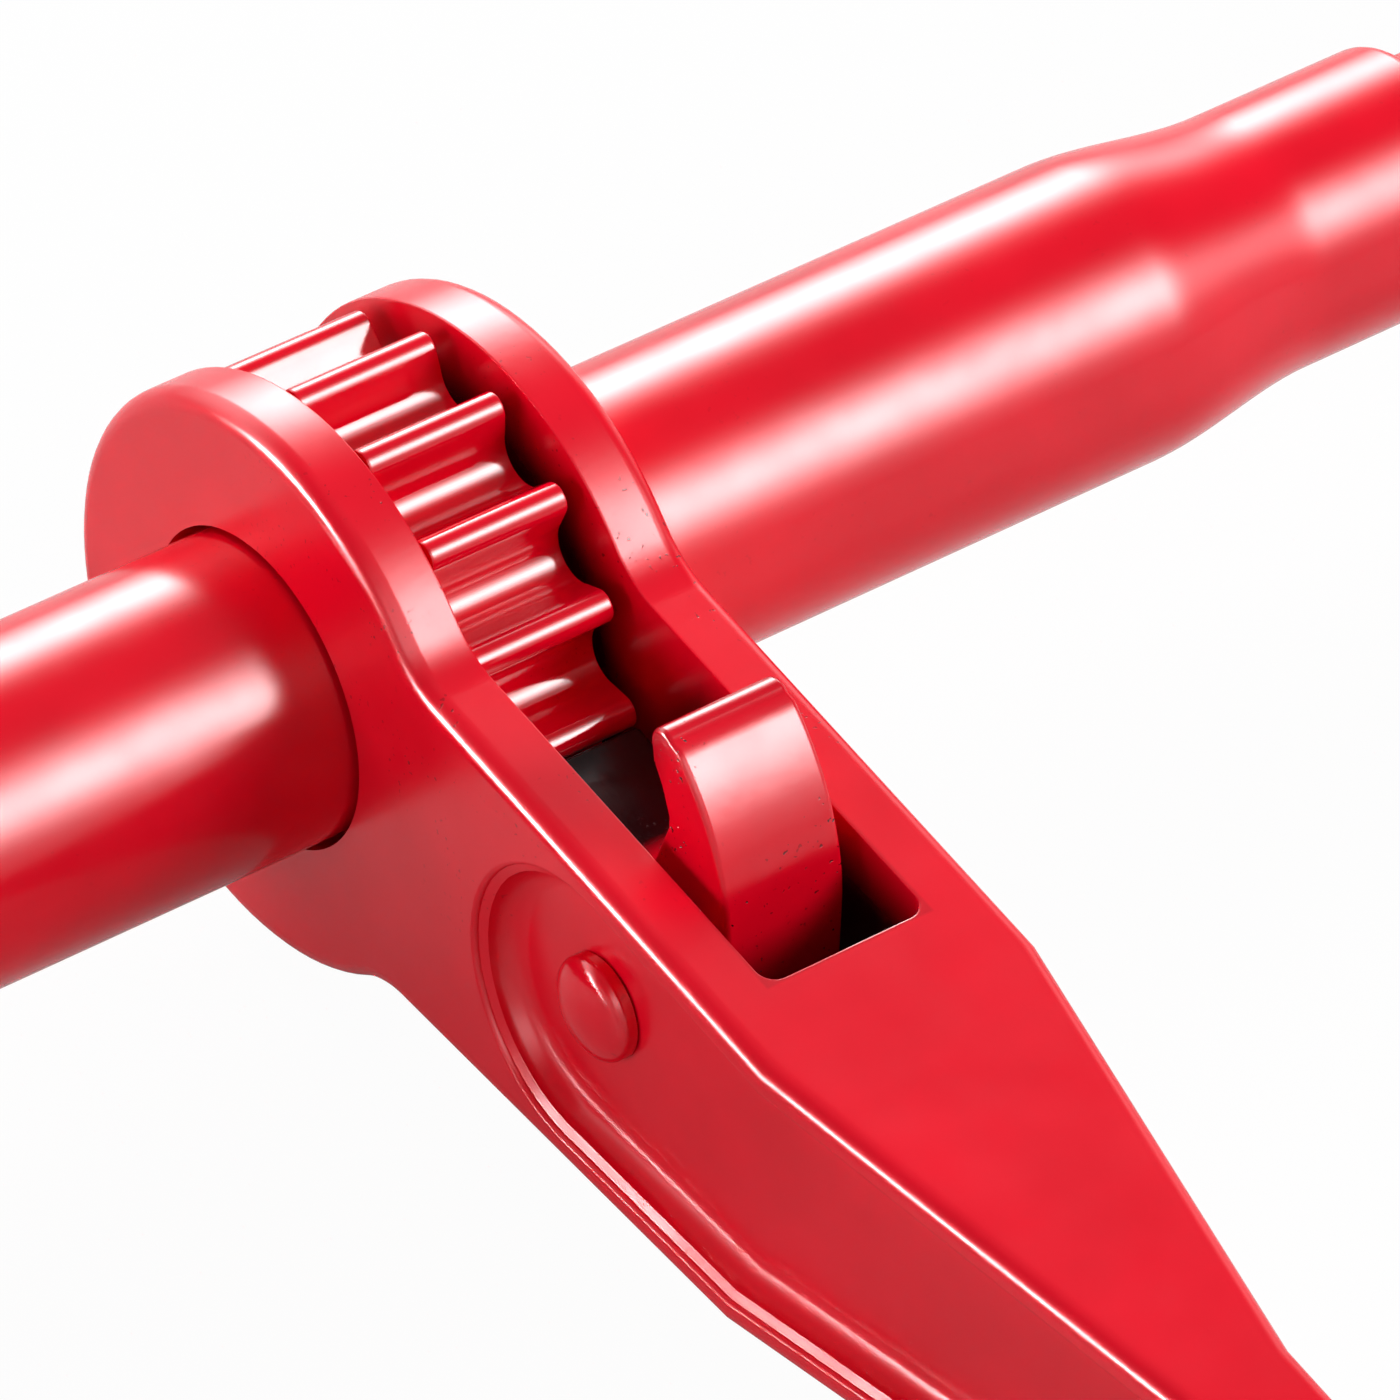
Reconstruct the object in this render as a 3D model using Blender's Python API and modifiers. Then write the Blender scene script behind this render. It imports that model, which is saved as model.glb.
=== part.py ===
"""Ratchet load binder: a barrel with a scalloped gear, a forged fork handle with a two-way pawl,
and on each end an eye screw, a link and a grab hook. Metres, +Z up, the barrel along X, the handle towards -Y."""

import math

import bmesh
import bpy
from mathutils import Matrix, Vector

# Driving dimensions
GAP = 0.0003
STEPS = 48

TUBE_R = 0.0211
NECK_R = 0.0181
TUBE_END = 0.1665
NECK_FROM = 0.112
NECK_TO = 0.139
TUBE_BORE_R = 0.0175
BORE_END = 0.1365
BORE_CONE = 0.003
END_ROUND = 0.002

TEETH = 16
GEAR_R = 0.0395
ROOT_R = 0.0318
VALLEY_R = 0.0042
TIP_R = 0.0023
TIP_SWEEP = math.radians(76)
GEAR_PHASE = math.radians(5.65)
VALLEY_SWEEP = math.radians(74)
GEAR_HALF = 0.0105
GEAR_X = -0.001

RING_R = 0.0401
CHEEK_BORE_R = 0.0221
HEAD_HALF = 0.0214
SLOT_HALF = 0.0122
SLOT_END = 0.0923
SLOT_CORNER_R = 0.0025
THROAT_R = 0.014
TOP_Z = 0.0267
HANDLE_END = 0.345
END_R = 0.0105
TAPER_FROM = 0.103
TAPER_TO = 0.170
GRIP_HALF = 0.009
EDGE_ROUND = 0.0025
FLANGE = 0.0056
POCKET_DEPTH = 0.0052
POCKET_END = 0.322

PIN_H = 0.0676
PIN_R = 0.005
RIVET_R = 0.0072
RIVET_SIDE = 0.0024
RIVET_DOME = 0.0016

PAWL_HALF = 0.0091
PAWL_REST_TILT = math.radians(6)
HORN_TIP_H = 0.0002
HORN_TIP_Z = 0.0384
HORN_TIP_R = 0.0025
TOOTH_REACH = 0.0311
TOOTH_ANGLE = math.radians(27)
PLUNGER_NOSE = 0.0165

PLUNGER_R = 0.003
PLUNGER_LENGTH = 0.0185
SPRING_LENGTH = 0.018
SPRING_R = 0.0022
SPRING_WIRE_R = 0.0004
SPRING_TURNS = 8
SPRING_POINTS = 10
PLUNGER_TRAVEL = 0.002

SCREW_R = 0.0148
SCREW_INNER_END = 0.020
STOP_PIN_X = 0.027
STOP_PIN_R = 0.003
STOP_PIN_HALF = 0.0164
EYE_X = 0.222
EYE_HOLE_R = 0.013
EYE_R = 0.025
EYE_HALF = 0.008
EYE_NECK = 0.008
EYE_NECK_R = 0.00814

LINK_R = 0.006
LINK_BEND_R = 0.021
LINK_STRAIGHT = 0.016
LINK_SET_IN = 0.002

HOOK_R = 0.009
HOOK_BEND_R = 0.016
HOOK_SHANK = 0.060
HOOK_TIP = 0.024

# Places worked out from the driving dimensions
END_CENTRE_H = HANDLE_END - END_R
DROOP = math.asin((RING_R - END_R) / END_CENTRE_H)
AXIS_Y = (END_CENTRE_H * math.cos(DROOP) + END_R - RING_R) / 2
# The pawl's lower horn hangs below the ring, so the ground is under its tip.
AXIS_Z = PIN_H * math.sin(DROOP) + HORN_TIP_Z * math.cos(DROOP - PAWL_REST_TILT) + HORN_TIP_R
AXIS = Vector((0, AXIS_Y, AXIS_Z))
THROAT_Z = TOP_Z + THROAT_R
THROAT_H = math.sqrt((RING_R + THROAT_R) ** 2 - THROAT_Z**2)
LINK_INNER_X = EYE_X + LINK_SET_IN
LINK_OUTER_X = LINK_INNER_X + 2 * LINK_BEND_R + LINK_STRAIGHT
HOOK_EYE_X = LINK_OUTER_X + LINK_SET_IN
HOOK_BEND_X = HOOK_EYE_X + HOOK_SHANK

# Turns of a flat outline: side outlines lie along the handle and up, top outlines along the handle and across
SIDE = Matrix(((0, 0, -1), (-1, 0, 0), (0, 1, 0))).to_4x4()
TOP = Matrix(((0, 1, 0), (-1, 0, 0), (0, 0, 1))).to_4x4()
LENGTHWISE = Matrix.Rotation(math.pi / 2, 4, "Y")
ALONG_HANDLE = Matrix.Rotation(math.pi / 2, 4, "X")

RED = (0.62, 0.008, 0.018)
ZINC = (0.55, 0.55, 0.56)
SPRING_STEEL = (0.32, 0.32, 0.33)


def clear_scene():
    for obj in list(bpy.data.objects):
        bpy.data.objects.remove(obj, do_unlink=True)


def new_collection(name):
    collection = bpy.data.collections.new(name)
    bpy.context.scene.collection.children.link(collection)
    return collection


def paint(name, colour, roughness, metallic):
    material = bpy.data.materials.new(name)
    material.use_nodes = True
    shader = material.node_tree.nodes["Principled BSDF"]
    shader.inputs["Base Color"].default_value = (*colour, 1)
    shader.inputs["Roughness"].default_value = roughness
    shader.inputs["Metallic"].default_value = metallic
    return material


def arc(centre, radius, start, end, count):
    """Points on an arc, in the plane of its outline, ends included."""
    angles = [start + (end - start) * i / count for i in range(count + 1)]
    return [(centre[0] + radius * math.cos(a), centre[1] + radius * math.sin(a)) for a in angles]


def solid_mesh(draft, frame):
    """The closed mesh of a draft object, turned by frame. The draft is removed."""
    bpy.context.scene.collection.objects.link(draft)
    graph = bpy.context.evaluated_depsgraph_get()
    mesh = bpy.data.meshes.new_from_object(draft.evaluated_get(graph))
    bpy.data.objects.remove(draft, do_unlink=True)
    mesh.transform(frame)
    edit = bmesh.new()
    edit.from_mesh(mesh)
    bmesh.ops.remove_doubles(edit, verts=edit.verts, dist=1e-6)
    bmesh.ops.recalc_face_normals(edit, faces=edit.faces)
    edit.to_mesh(mesh)
    edit.free()
    mesh.materials.clear()
    return mesh


def plate(loops, half, frame=Matrix()):
    """A flat outline with its holes, given thickness to both sides."""
    curve = bpy.data.curves.new("outline", "CURVE")
    curve.dimensions = "2D"
    curve.fill_mode = "BOTH"
    curve.extrude = half
    for loop in loops:
        spline = curve.splines.new("POLY")
        spline.points.add(len(loop) - 1)
        for point, (u, v) in zip(spline.points, loop):
            point.co = (u, v, 0, 1)
        spline.use_cyclic_u = True
    return solid_mesh(bpy.data.objects.new("outline", curve), frame)


def turned(profile, frame, closed=False, steps=STEPS):
    """A profile of (along, radius) points turned about its axis, which frame lays in place."""
    points = [(radius, 0, along) for along, radius in profile]
    edges = [(i, i + 1) for i in range(len(points) - 1)]
    if closed:
        edges.append((len(points) - 1, 0))
    mesh = bpy.data.meshes.new("profile")
    mesh.from_pydata(points, edges, [])
    draft = bpy.data.objects.new("profile", mesh)
    screw = draft.modifiers.new("turn", "SCREW")
    screw.steps = steps
    screw.render_steps = steps
    screw.use_merge_vertices = True
    screw.merge_threshold = 0.00001
    return solid_mesh(draft, frame)


def bar(points, radius, closed=False, resolution=2):
    """A round bar along a run of points."""
    curve = bpy.data.curves.new("bar", "CURVE")
    curve.dimensions = "3D"
    curve.bevel_depth = radius
    curve.bevel_resolution = resolution
    curve.use_fill_caps = not closed
    spline = curve.splines.new("POLY")
    spline.points.add(len(points) - 1)
    for point, place in zip(spline.points, points):
        point.co = (*place, 1)
    spline.use_cyclic_u = closed
    return solid_mesh(bpy.data.objects.new("bar", curve), Matrix())


def place(name, mesh, material, origin, parent=None):
    """One named piece, with its origin where it turns or sits."""
    mesh.name = name
    mesh.materials.append(material)
    mesh.shade_smooth()
    mesh.set_sharp_from_angle(angle=math.radians(30))
    obj = bpy.data.objects.new(name, mesh)
    obj.location = origin
    obj.parent = parent
    PARTS.objects.link(obj)
    return obj


def combine(target, mesh, operation, name):
    """Cuts from, joins to or keeps the common part of a piece, with a helper that rides on it."""
    helper = bpy.data.objects.new(name, mesh)
    helper.parent = target
    helper.hide_render = True
    helper.display_type = "WIRE"
    CUTTERS.objects.link(helper)
    boolean = target.modifiers.new(name, "BOOLEAN")
    boolean.operation = operation
    boolean.object = helper
    return helper


def rod(half_length, radius, frame=LENGTHWISE, middle=0.0, steps=STEPS):
    """A plain round bar about its axis, used for pins and holes."""
    start = middle - half_length
    end = middle + half_length
    return turned([(start, 0), (start, radius), (end, radius), (end, 0)], frame, steps=steps)


def barrel_tube(material):
    """Drawn tube with both ends swaged down to a neck, and a stepped bore."""
    blend = [i / 8 for i in range(9)]
    swage = [
        (NECK_FROM + (NECK_TO - NECK_FROM) * t, TUBE_R - (TUBE_R - NECK_R) * (3 - 2 * t) * t * t) for t in blend
    ]
    end = arc((TUBE_END - END_ROUND, NECK_R - END_ROUND), END_ROUND, math.pi / 2, 0, 3)
    bore = [(TUBE_END, SCREW_R + GAP), (BORE_END + BORE_CONE, SCREW_R + GAP), (BORE_END, TUBE_BORE_R)]
    half = swage + end + bore
    other = [(-along, radius) for along, radius in reversed(half)]
    place("barrel_tube", turned(half + other, LENGTHWISE, closed=True), material, AXIS)


def ratchet_gear(material):
    """Scalloped gear fixed round the middle of the tube, with a valley just over the handle's centre line."""
    pitch = 2 * math.pi / TEETH
    valley_centre_r = ROOT_R + VALLEY_R
    outer = []
    for tooth in range(TEETH):
        middle = GEAR_PHASE + (tooth + 0.5) * pitch
        tip_centre = ((GEAR_R - TIP_R) * math.cos(middle), (GEAR_R - TIP_R) * math.sin(middle))
        outer += arc(tip_centre, TIP_R, middle - TIP_SWEEP, middle + TIP_SWEEP, 4)
        valley = middle + pitch / 2
        centre = (valley_centre_r * math.cos(valley), valley_centre_r * math.sin(valley))
        inward = valley + math.pi
        outer += arc(centre, VALLEY_R, inward + VALLEY_SWEEP, inward - VALLEY_SWEEP, 6)
    bore = arc((0, 0), TUBE_R + GAP, 0, 2 * math.pi, STEPS)[:-1]
    gear = place("ratchet_gear", plate([outer, bore], GEAR_HALF, SIDE), material, AXIS + Vector((GEAR_X, 0, 0)))
    gear.rotation_euler = (DROOP, 0, 0)


def top_of_handle(h):
    """Height of the handle's top face over its centre line, which falls evenly to the rounded end."""
    return TOP_Z + (END_R - TOP_Z) * (h - THROAT_H) / (END_CENTRE_H - THROAT_H)


def handle_side():
    """The handle from the side: a ring head, a hollow throat, two straight faces and a round end."""
    meet = math.atan2(THROAT_Z, THROAT_H)
    head = arc((0, 0), RING_R, meet, 2 * math.pi - meet, 36)
    lower = arc((THROAT_H, -THROAT_Z), THROAT_R, math.pi - meet, math.pi / 2, 5)
    end = arc((END_CENTRE_H, 0), END_R, -math.pi / 2, math.pi / 2, 10)
    upper = arc((THROAT_H, THROAT_Z), THROAT_R, -math.pi / 2, meet - math.pi, 5)
    return head + lower[1:] + end + upper[:-1]


def handle_top(inset):
    """The handle from above: full width at the head, then a straight taper to the grip."""
    head = HEAD_HALF - inset
    grip = GRIP_HALF - inset
    far = HANDLE_END + END_R
    near = -2 * RING_R
    half = [(near, head), (TAPER_FROM, head), (TAPER_TO, grip), (far, grip)]
    return half + [(h, -x) for h, x in reversed(half)]


def pocket_side():
    """The hollow in each side of the handle, round about the pin and along both flanges to the grip's end."""
    near_r = top_of_handle(PIN_H) - FLANGE
    far_r = top_of_handle(POCKET_END) - FLANGE
    near = arc((PIN_H, 0), near_r, math.pi / 2, 3 * math.pi / 2, 12)
    far = arc((POCKET_END, 0), far_r, -math.pi / 2, math.pi / 2, 8)
    return near + far


def slot_top():
    """The slot from above, open at the head and with rounded corners at the pawl's end."""
    corner_h = SLOT_END - SLOT_CORNER_R
    corner_x = SLOT_HALF - SLOT_CORNER_R
    left = arc((corner_h, -corner_x), SLOT_CORNER_R, -math.pi / 2, 0, 4)
    right = arc((corner_h, corner_x), SLOT_CORNER_R, 0, math.pi / 2, 4)
    return [(-2 * RING_R, -SLOT_HALF)] + left + right + [(-2 * RING_R, SLOT_HALF)]


def handle(material, pivot):
    """Forged fork handle: two ring cheeks round the barrel, a slot for the gear and pawl, and an I-beam grip."""
    body = place("handle", plate([handle_side()], HEAD_HALF + END_R, SIDE), material, (0, 0, 0), pivot)
    combine(body, plate([handle_top(0)], 2 * RING_R, TOP), "INTERSECT", "handle_width")
    rounding = body.modifiers.new("edges", "BEVEL")
    rounding.width = EDGE_ROUND
    rounding.segments = 2
    rounding.limit_method = "ANGLE"
    rounding.angle_limit = math.radians(50)
    combine(body, plate([slot_top()], 2 * RING_R, TOP), "DIFFERENCE", "slot")
    combine(body, rod(2 * HEAD_HALF, CHEEK_BORE_R), "DIFFERENCE", "barrel_bore")
    pockets = combine(body, plate([pocket_side()], 2 * HEAD_HALF, SIDE), "DIFFERENCE", "pockets")
    combine(pockets, plate([handle_top(POCKET_DEPTH)], 2 * RING_R, TOP), "DIFFERENCE", "web")
    pin_hole = rod(2 * HEAD_HALF, PIN_R + GAP, LENGTHWISE)
    pin_hole.transform(Matrix.Translation((0, -PIN_H, 0)))
    combine(body, pin_hole, "DIFFERENCE", "pin_hole")
    start = SLOT_END - SLOT_CORNER_R
    depth = PIN_H + PLUNGER_NOSE + PLUNGER_LENGTH + PLUNGER_TRAVEL + SPRING_LENGTH + 4 * GAP
    bore = rod((depth - start) / 2, PLUNGER_R + GAP, ALONG_HANDLE, (start + depth) / 2, 24)
    combine(body, bore, "DIFFERENCE", "plunger_bore")


def pawl_side():
    """The pawl from the side, about its pin: tooth, step, hollow front of the thumb horn, round tip and bowed back.

    Its lower half mirrors the upper, so the same tooth and horn serve the other way of turning."""
    tooth = (-TOOTH_REACH * math.cos(TOOTH_ANGLE), TOOTH_REACH * math.sin(TOOTH_ANGLE))
    front = [(-0.0205, 0.004), (-0.0255, 0.0095), tooth, (-0.0225, 0.0128), (-0.011, 0.0135), (-0.001, 0.0190)]
    horn = [(0.0012, 0.0250), (0.0018, 0.0268), (0.0018, 0.0285), (0.0001, 0.0324), (-0.0017, 0.0351)]
    tip = arc((HORN_TIP_H, HORN_TIP_Z), HORN_TIP_R, math.radians(195), math.radians(45), 6)
    back = arc((-0.0185, 0.0146), 0.0334, math.radians(49), 0, 8)
    upper = front + horn + tip + back
    return upper + [(h, -z) for h, z in reversed(upper)]


def pawl(material, pivot):
    """Two-way pawl on the pin, with a thumb horn above and below the slot."""
    hole = arc((0, 0), PIN_R + GAP, 0, 2 * math.pi, 24)[:-1]
    piece = place("pawl", plate([pawl_side(), hole], PAWL_HALF, SIDE), material, (0, -PIN_H, 0), pivot)
    piece.rotation_euler = (-PAWL_REST_TILT, 0, 0)


def pawl_pin(material, pivot):
    """Rivet through both cheeks and the pawl, with a low domed head in each pocket."""
    floor = HEAD_HALF - POCKET_DEPTH + GAP
    rim = floor + RIVET_SIDE
    dome = [(rim + RIVET_DOME * math.sin(a), RIVET_R * math.cos(a)) for a in (i * math.pi / 10 for i in range(5))]
    half = [(floor, PIN_R), (floor, RIVET_R)] + dome + [(rim + RIVET_DOME, 0)]
    other = [(-along, radius) for along, radius in reversed(half)]
    place("pawl_pin", turned(other + half, LENGTHWISE, steps=32), material, (0, -PIN_H, 0), pivot)


def pawl_plunger(material, pivot):
    """Round-nosed plunger in the end of the slot, which holds the pawl over to either side."""
    nose = [(PLUNGER_R * (1 - math.cos(a)) / 2, PLUNGER_R * math.sin(a)) for a in (i * math.pi / 8 for i in range(5))]
    profile = nose + [(PLUNGER_LENGTH, PLUNGER_R), (PLUNGER_LENGTH, 0)]
    start = PIN_H + PLUNGER_NOSE
    place("pawl_plunger", turned(profile, ALONG_HANDLE, steps=24), material, (0, -start, 0), pivot)


def plunger_spring(material, pivot):
    """Coil spring behind the plunger, drawn at the length it has when the plunger is pushed right in."""
    start = PIN_H + PLUNGER_NOSE + PLUNGER_LENGTH + PLUNGER_TRAVEL + GAP
    count = SPRING_TURNS * SPRING_POINTS
    rise = SPRING_LENGTH - 2 * SPRING_WIRE_R
    points = []
    for i in range(count + 1):
        angle = 2 * math.pi * i / SPRING_POINTS
        along = -SPRING_WIRE_R - rise * i / count
        points.append((SPRING_R * math.cos(angle), along, SPRING_R * math.sin(angle)))
    between = rise / SPRING_TURNS - 2 * SPRING_WIRE_R
    print(f"spring: least gap between turns {between * 1000:.2f} mm")
    place("plunger_spring", bar(points, SPRING_WIRE_R, resolution=1), material, (0, -start, 0), pivot)


def eye(middle_x):
    """A flat forged eye round a hole."""
    outer = arc((middle_x, 0), EYE_R, 0, 2 * math.pi, 40)[:-1]
    hole = arc((middle_x, 0), EYE_HOLE_R, 0, 2 * math.pi, 32)[:-1]
    return plate([outer, hole], EYE_HALF)


def mirrored(mesh, side):
    """The mesh as it stands on the right, or its mirror image on the left."""
    if side < 0:
        mesh.transform(Matrix.Diagonal((-1, 1, 1, 1)))
        mesh.flip_normals()
    return mesh


def end_set(name, side, paints):
    """What hangs from one end of the barrel: the eye screw with its stop pin, a link and a grab hook."""
    root = EYE_X - (EYE_R + EYE_HOLE_R) / 2
    shank_end = [(root, EYE_NECK_R), (root, 0)]
    shank = [(SCREW_INNER_END, 0), (SCREW_INNER_END, SCREW_R), (EYE_X - EYE_R - EYE_NECK, SCREW_R)] + shank_end
    screw = place(f"{name}_screw", mirrored(turned(shank, LENGTHWISE), side), paints["screw"], AXIS)
    combine(screw, mirrored(eye(EYE_X), side), "UNION", f"{name}_eye")
    pin_frame = Matrix.Translation((side * STOP_PIN_X, 0, 0)) @ ALONG_HANDLE
    hole = rod(2 * SCREW_R, STOP_PIN_R + GAP, pin_frame, steps=24)
    combine(screw, hole, "DIFFERENCE", f"{name}_stop_hole")
    place(f"{name}_stop_pin", rod(STOP_PIN_HALF, STOP_PIN_R, pin_frame, steps=24), paints["stop"], AXIS)

    bend_in = arc((LINK_BEND_R, 0), LINK_BEND_R, math.pi / 2, 3 * math.pi / 2, 12)
    bend_out = arc((LINK_BEND_R + LINK_STRAIGHT, 0), LINK_BEND_R, -math.pi / 2, math.pi / 2, 12)
    run = [(along, 0, up) for along, up in bend_in + bend_out]
    link_at = AXIS + Vector((side * LINK_INNER_X, 0, 0))
    place(f"{name}_link", mirrored(bar(run, LINK_R, closed=True), side), paints["link"], link_at)

    reach = HOOK_BEND_X - LINK_OUTER_X
    eye_reach = HOOK_EYE_X - LINK_OUTER_X
    bend = arc((reach, -HOOK_BEND_R), HOOK_BEND_R, math.pi / 2, -math.pi / 2, 12)
    start = eye_reach + (EYE_R + EYE_HOLE_R) / 2
    flat = [(start, 0)] + bend + [(reach - HOOK_TIP, -2 * HOOK_BEND_R)]
    hook_at = AXIS + Vector((side * LINK_OUTER_X, 0, 0))
    hook_mesh = mirrored(bar([(along, y, 0) for along, y in flat], HOOK_R), side)
    hook = place(f"{name}_hook", hook_mesh, paints["hook"], hook_at)
    combine(hook, mirrored(eye(eye_reach), side), "UNION", f"{name}_hook_eye")


clear_scene()
PARTS = new_collection("ratchet_load_binder")
CUTTERS = new_collection("cutters")

handle_pivot = bpy.data.objects.new("handle_pivot", None)
handle_pivot.location = AXIS
handle_pivot.rotation_euler = (DROOP, 0, 0)
PARTS.objects.link(handle_pivot)

barrel_tube(paint("barrel_paint", RED, 0.2, 0))
ratchet_gear(paint("gear_paint", RED, 0.22, 0))
handle(paint("handle_paint", RED, 0.28, 0), handle_pivot)
pawl(paint("pawl_paint", RED, 0.25, 0), handle_pivot)
pawl_pin(paint("pin_paint", RED, 0.22, 0), handle_pivot)
pawl_plunger(paint("plunger_zinc", ZINC, 0.35, 1), handle_pivot)
plunger_spring(paint("spring_steel", SPRING_STEEL, 0.4, 1), handle_pivot)
for end_name, end_side in (("right", 1), ("left", -1)):
    end_paints = {
        "screw": paint(f"{end_name}_screw_paint", RED, 0.25, 0),
        "stop": paint(f"{end_name}_stop_steel", SPRING_STEEL, 0.4, 1),
        "link": paint(f"{end_name}_link_paint", RED, 0.28, 0),
        "hook": paint(f"{end_name}_hook_paint", RED, 0.28, 0),
    }
    end_set(end_name, end_side, end_paints)
bpy.context.view_layer.update()
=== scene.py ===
import math

import bpy
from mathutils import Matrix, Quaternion, Vector


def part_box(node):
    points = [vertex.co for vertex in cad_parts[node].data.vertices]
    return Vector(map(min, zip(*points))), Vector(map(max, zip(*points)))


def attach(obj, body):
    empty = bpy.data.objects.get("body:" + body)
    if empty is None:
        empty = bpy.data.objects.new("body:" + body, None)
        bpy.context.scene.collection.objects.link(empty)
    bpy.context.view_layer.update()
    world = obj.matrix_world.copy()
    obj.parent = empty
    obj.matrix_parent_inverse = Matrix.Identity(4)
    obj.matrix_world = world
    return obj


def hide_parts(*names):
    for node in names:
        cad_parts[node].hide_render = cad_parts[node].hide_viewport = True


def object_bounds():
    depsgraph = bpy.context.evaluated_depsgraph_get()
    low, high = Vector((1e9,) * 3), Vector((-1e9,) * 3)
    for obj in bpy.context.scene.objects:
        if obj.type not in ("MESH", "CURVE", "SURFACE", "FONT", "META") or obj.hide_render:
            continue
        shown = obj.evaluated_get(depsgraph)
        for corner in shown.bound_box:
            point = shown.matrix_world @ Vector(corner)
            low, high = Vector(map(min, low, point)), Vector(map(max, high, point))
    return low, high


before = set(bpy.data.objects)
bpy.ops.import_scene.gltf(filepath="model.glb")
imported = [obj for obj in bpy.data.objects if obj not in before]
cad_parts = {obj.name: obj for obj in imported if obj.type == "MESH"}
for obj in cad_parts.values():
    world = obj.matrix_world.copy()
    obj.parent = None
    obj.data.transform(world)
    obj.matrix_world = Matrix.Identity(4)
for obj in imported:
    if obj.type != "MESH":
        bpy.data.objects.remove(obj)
cad_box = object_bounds()


# The barrel is a drawn steel tube whose two ends are swaged down to a neck that carries the screws' threads.
# It is turned here as one closed profile: outside, rounded end and stepped bore. The tool is sprayed in one
# gloss red, so the paint is made here too and every painted piece after this gets its own mix of it.
tube_r = 0.0211
neck_r = 0.0181
tube_end = 0.1665
neck_from = 0.112
neck_to = 0.139
bore_r = 0.0175
bore_end = 0.1365
bore_cone = 0.003
end_round = 0.002
screw_r = 0.0148
clearance = 0.0003
swage_steps = 20
pit_colour = (0.05, 0.002, 0.003, 1)
# Near black, laid on as painted shade deep in the slot and on the pawl's arms.
painted_shade_colour = (0.01, 0.001, 0.0015, 1)
tube_low, tube_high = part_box("barrel_tube")
axis = (Vector(tube_low) + Vector(tube_high)) / 2


def arc(centre, radius, start, stop, steps):
    """Points of a round stretch in the plane of two coordinates, from one angle to the other."""
    angles = [start + (stop - start) * i / steps for i in range(steps + 1)]
    return [(centre[0] + radius * math.cos(a), centre[1] + radius * math.sin(a)) for a in angles]


def pick(piece):
    """Makes this the only selected object, out of edit mode."""
    if bpy.context.mode != "OBJECT":
        bpy.ops.object.mode_set(mode="OBJECT")
    bpy.ops.object.select_all(action="DESELECT")
    piece.select_set(True)
    bpy.context.view_layer.objects.active = piece


def edit(piece, mode="VERT"):
    """Goes into edit mode on this piece with nothing selected."""
    pick(piece)
    bpy.ops.object.mode_set(mode="EDIT")
    bpy.ops.mesh.select_mode(type=mode)
    bpy.ops.mesh.select_all(action="DESELECT")


def choose(piece, test):
    """Goes into edit mode with the points selected whose place passes the test."""
    edit(piece)
    bpy.ops.object.mode_set(mode="OBJECT")
    for vertex in piece.data.vertices:
        vertex.select = test(vertex.co)
    bpy.ops.object.mode_set(mode="EDIT")


def trace(name, points):
    """A line of points drawn by extruding one point from place to place."""
    if bpy.context.mode != "OBJECT":
        bpy.ops.object.mode_set(mode="OBJECT")
    bpy.ops.object.select_all(action="DESELECT")
    bpy.ops.mesh.primitive_plane_add(size=0.001, location=points[0])
    piece = bpy.context.object
    piece.name = name
    piece.data.name = name
    edit(piece)
    bpy.ops.mesh.select_all(action="SELECT")
    bpy.ops.mesh.merge(type="CENTER")
    for here, there in zip(points, points[1:]):
        step = Vector(there) - Vector(here)
        bpy.ops.mesh.extrude_region_move(TRANSFORM_OT_translate={"value": step})
    pick(piece)
    bpy.ops.object.transform_apply(location=True, rotation=True, scale=True)
    return piece


def close_up(piece, merge=1e-6):
    """Merges doubled points and turns every face outwards."""
    edit(piece)
    bpy.ops.mesh.select_all(action="SELECT")
    bpy.ops.mesh.remove_doubles(threshold=merge)
    bpy.ops.mesh.normals_make_consistent(inside=False)
    pick(piece)


def turn(name, profile, steps=128, closed=True):
    """A piece turned round the X axis from its profile of (along, radius)."""
    points = [(along, radius, 0) for along, radius in profile]
    piece = trace(name, points + points[:1] if closed else points)
    edit(piece)
    bpy.ops.mesh.select_all(action="SELECT")
    bpy.ops.mesh.spin(steps=steps, angle=2 * math.pi, center=(0, 0, 0), axis=(1, 0, 0))
    close_up(piece)
    return piece


def place(piece, location, tilt=0):
    """Turns a piece about the X axis, sets it in its place and leaves the place in the mesh."""
    pick(piece)
    piece.rotation_euler = (tilt, 0, 0)
    piece.location = location
    bpy.ops.object.transform_apply(location=True, rotation=True, scale=True)


def apply(piece, kind, **settings):
    """Adds a modifier with these settings and applies it."""
    pick(piece)
    modifier = piece.modifiers.new(kind.lower(), kind)
    for key, value in settings.items():
        setattr(modifier, key, value)
    bpy.ops.object.modifier_apply(modifier=modifier.name)


def soften(piece, angle=32):
    """Smooth shading up to this angle, with flat faces kept flat beside rounded edges."""
    pick(piece)
    bpy.ops.object.shade_smooth_by_angle(angle=math.radians(angle))
    apply(piece, "WEIGHTED_NORMAL", keep_sharp=True, weight=100)


def new_socket(group, name, kind, way, value=None):
    """One named input or output of a node group."""
    socket = group.interface.new_socket(name=name, in_out=way, socket_type=kind)
    if value is not None:
        socket.default_value = value


def link(tree, out, into):
    tree.links.new(out, into)


def noise(tree, coords, scale, detail=2.0, rough=0.5):
    """Noise at a scale in cycles for each metre of the object."""
    node = tree.nodes.new("ShaderNodeTexNoise")
    node.inputs["Scale"].default_value = scale
    node.inputs["Detail"].default_value = detail
    node.inputs["Roughness"].default_value = rough
    link(tree, coords, node.inputs["Vector"])
    return node.outputs["Fac"]


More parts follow.
